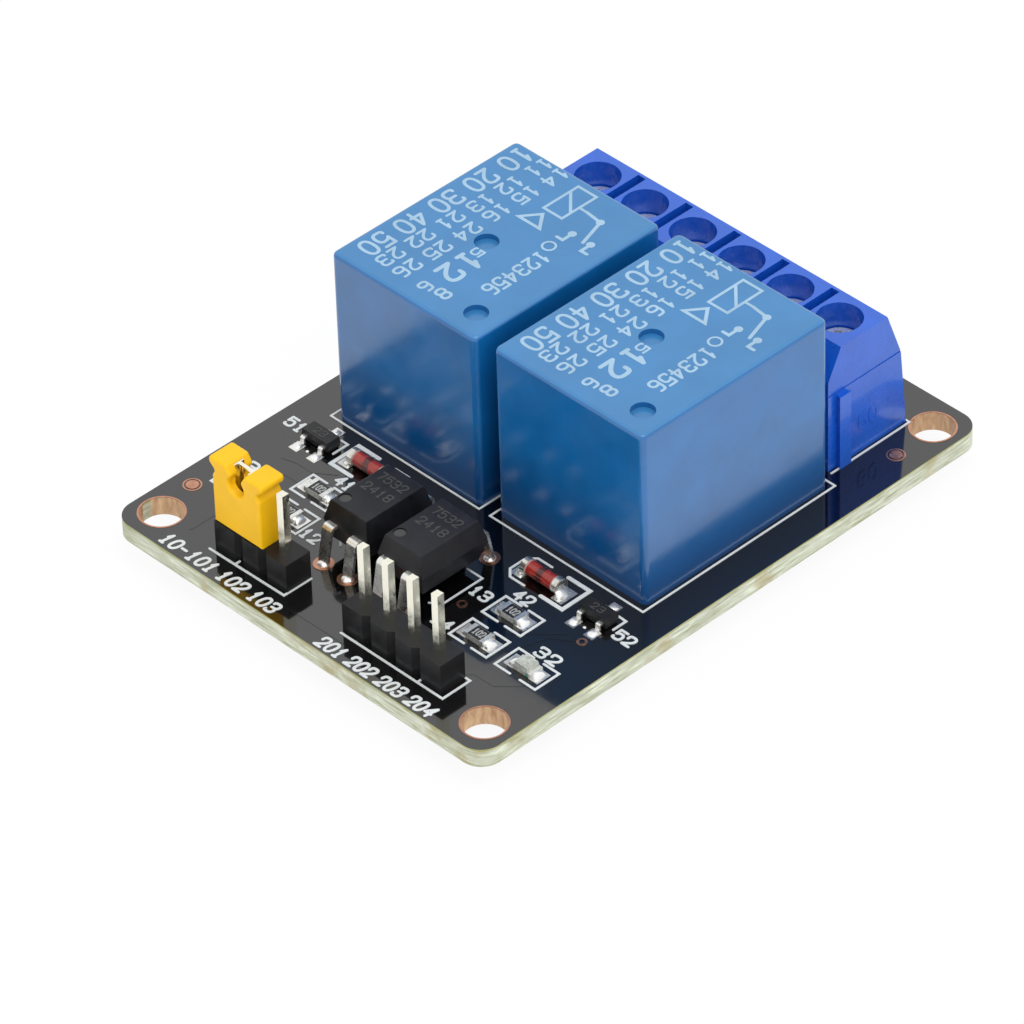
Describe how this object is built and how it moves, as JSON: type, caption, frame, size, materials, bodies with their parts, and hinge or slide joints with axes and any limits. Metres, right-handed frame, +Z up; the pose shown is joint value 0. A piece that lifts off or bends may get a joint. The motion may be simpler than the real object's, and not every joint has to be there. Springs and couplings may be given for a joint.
{
  "type": "relay module board",
  "caption": "Black circuit board with sealed blue relays, a screw terminal block, pin headers with a yellow jumper, optocouplers and small surface-mounted parts",
  "frame": {"origin": "centre of the four mounting holes, on the board's underside", "axes": "+Z up out of the component side, +X along the board from the pin headers to the terminal block, +Y towards the end of the jumper"},
  "size_m": [0.0518, 0.0388, 0.019],
  "materials": {
    "solder_mask": "glossy black solder mask over glass-fibre board",
    "solder": "bright tin solder",
    "terminal_plastic": "moulded violet-blue plastic",
    "tinned_metal": "tin-plated strip",
    "header_plastic": "moulded black plastic",
    "plated_pin": "bright tin-plated pin",
    "jumper_plastic": "moulded yellow plastic",
    "coupler_plastic": "satin charcoal moulding",
    "diode_glass": "red-orange glass with tinned caps",
    "package_plastic": "satin black moulding",
    "screw_metal": "zinc-plated steel",
    "chip_body": "ceramic chip with tinned ends and a black top",
    "lamp_plastic": "clear lens on a white base",
    "relay_plastic": "moulded blue plastic",
    "relay_base_plastic": "moulded blue plastic",
    "magnet_iron": "plated soft iron",
    "bobbin_plastic": "moulded pale plastic",
    "coil_wire": "enamelled copper wire",
    "contact_metal": "copper alloy strip"
  },
  "bodies": {
    "board": {"circuit_board": "solder_mask", "diode_1": "diode_glass", "diode_2": "diode_glass", "header_3_insulator": "header_plastic", "header_3_pins": "plated_pin", "header_4_insulator": "header_plastic", "header_4_pins": "plated_pin", "indicator_lamp_1": "lamp_plastic", "indicator_lamp_2": "lamp_plastic", "optocoupler_1_body": "coupler_plastic", "optocoupler_1_leads": "tinned_metal", "optocoupler_2_body": "coupler_plastic", "optocoupler_2_leads": "tinned_metal", "relay_1_base": "relay_base_plastic", "relay_1_bobbin": "bobbin_plastic", "relay_1_case": "relay_plastic", "relay_1_closed_terminal": "contact_metal", "relay_1_coil": "coil_wire", "relay_1_coil_pins": "tinned_metal", "relay_1_core": "magnet_iron", "relay_1_open_terminal": "contact_metal", "relay_1_yoke": "magnet_iron", "relay_2_base": "relay_base_plastic", "relay_2_bobbin": "bobbin_plastic", "relay_2_case": "relay_plastic", "relay_2_closed_terminal": "contact_metal", "relay_2_coil": "coil_wire", "relay_2_coil_pins": "tinned_metal", "relay_2_core": "magnet_iron", "relay_2_open_terminal": "contact_metal", "relay_2_yoke": "magnet_iron", "resistor_1": "chip_body", "resistor_2": "chip_body", "resistor_3": "chip_body", "resistor_4": "chip_body", "solder_joints": "solder", "terminal_contacts": "tinned_metal", "terminal_housing": "terminal_plastic", "transistor_1": "package_plastic", "transistor_2": "package_plastic", "transistor_leads": "tinned_metal"},
    "relay_1_rocker": {"relay_1_armature": "magnet_iron", "relay_1_contact_spring": "contact_metal"},
    "relay_2_rocker": {"relay_2_armature": "magnet_iron", "relay_2_contact_spring": "contact_metal"},
    "jumper": {"jumper_cap": "jumper_plastic", "jumper_clip": "plated_pin"},
    "wire_guard_1": {"wire_guard_1": "tinned_metal"},
    "clamp_screw_1": {"clamp_screw_1": "screw_metal"},
    "wire_guard_2": {"wire_guard_2": "tinned_metal"},
    "clamp_screw_2": {"clamp_screw_2": "screw_metal"},
    "wire_guard_3": {"wire_guard_3": "tinned_metal"},
    "clamp_screw_3": {"clamp_screw_3": "screw_metal"},
    "wire_guard_4": {"wire_guard_4": "tinned_metal"},
    "clamp_screw_4": {"clamp_screw_4": "screw_metal"},
    "wire_guard_5": {"wire_guard_5": "tinned_metal"},
    "clamp_screw_5": {"clamp_screw_5": "screw_metal"},
    "wire_guard_6": {"wire_guard_6": "tinned_metal"},
    "clamp_screw_6": {"clamp_screw_6": "screw_metal"}
  },
  "joints": [
    {"name": "relay_1_rocker_hinge", "type": "hinge", "parent": "board", "child": "relay_1_rocker", "pos_m": [-0.00415, 0.00807, 0.01362], "axis": [0, 1, 0], "range_deg": [0, 2.5], "stiffness_Nm_per_rad": 0.0002, "springref_deg": -11.46},
    {"name": "relay_2_rocker_hinge", "type": "hinge", "parent": "board", "child": "relay_2_rocker", "pos_m": [-0.00385, -0.0086, 0.01362], "axis": [0, 1, 0], "range_deg": [0, 2.5], "stiffness_Nm_per_rad": 0.0002, "springref_deg": -11.46},
    {"name": "jumper_slide", "type": "slide", "parent": "board", "child": "jumper", "axis": [0, 0, 1], "range_m": [0, 0.008]},
    {"name": "wire_guard_1_slide", "type": "slide", "parent": "board", "child": "wire_guard_1", "axis": [0, 0, 1], "range_m": [-0.001, 0.001]},
    {"name": "clamp_screw_1_turn", "type": "hinge", "parent": "wire_guard_1", "child": "clamp_screw_1", "pos_m": [0.01776, -0.0125, 0.0078], "axis": [0, 0, 1], "range_deg": [-720, 720]},
    {"name": "wire_guard_2_slide", "type": "slide", "parent": "board", "child": "wire_guard_2", "axis": [0, 0, 1], "range_m": [-0.001, 0.001]},
    {"name": "clamp_screw_2_turn", "type": "hinge", "parent": "wire_guard_2", "child": "clamp_screw_2", "pos_m": [0.01776, -0.0075, 0.0078], "axis": [0, 0, 1], "range_deg": [-720, 720]},
    {"name": "wire_guard_3_slide", "type": "slide", "parent": "board", "child": "wire_guard_3", "axis": [0, 0, 1], "range_m": [-0.001, 0.001]},
    {"name": "clamp_screw_3_turn", "type": "hinge", "parent": "wire_guard_3", "child": "clamp_screw_3", "pos_m": [0.01776, -0.0025, 0.0078], "axis": [0, 0, 1], "range_deg": [-720, 720]},
    {"name": "wire_guard_4_slide", "type": "slide", "parent": "board", "child": "wire_guard_4", "axis": [0, 0, 1], "range_m": [-0.001, 0.001]},
    {"name": "clamp_screw_4_turn", "type": "hinge", "parent": "wire_guard_4", "child": "clamp_screw_4", "pos_m": [0.01776, 0.0025, 0.0078], "axis": [0, 0, 1], "range_deg": [-720, 720]},
    {"name": "wire_guard_5_slide", "type": "slide", "parent": "board", "child": "wire_guard_5", "axis": [0, 0, 1], "range_m": [-0.001, 0.001]},
    {"name": "clamp_screw_5_turn", "type": "hinge", "parent": "wire_guard_5", "child": "clamp_screw_5", "pos_m": [0.01776, 0.0075, 0.0078], "axis": [0, 0, 1], "range_deg": [-720, 720]},
    {"name": "wire_guard_6_slide", "type": "slide", "parent": "board", "child": "wire_guard_6", "axis": [0, 0, 1], "range_m": [-0.001, 0.001]},
    {"name": "clamp_screw_6_turn", "type": "hinge", "parent": "wire_guard_6", "child": "clamp_screw_6", "pos_m": [0.01776, 0.0125, 0.0078], "axis": [0, 0, 1], "range_deg": [-720, 720]}
  ],
  "couplings": [
    {"joint": "clamp_screw_1_turn", "follows": "wire_guard_1_slide", "rad_per_m": 12566},
    {"joint": "clamp_screw_2_turn", "follows": "wire_guard_2_slide", "rad_per_m": 12566},
    {"joint": "clamp_screw_3_turn", "follows": "wire_guard_3_slide", "rad_per_m": 12566},
    {"joint": "clamp_screw_4_turn", "follows": "wire_guard_4_slide", "rad_per_m": 12566},
    {"joint": "clamp_screw_5_turn", "follows": "wire_guard_5_slide", "rad_per_m": 12566},
    {"joint": "clamp_screw_6_turn", "follows": "wire_guard_6_slide", "rad_per_m": 12566}
  ]
}
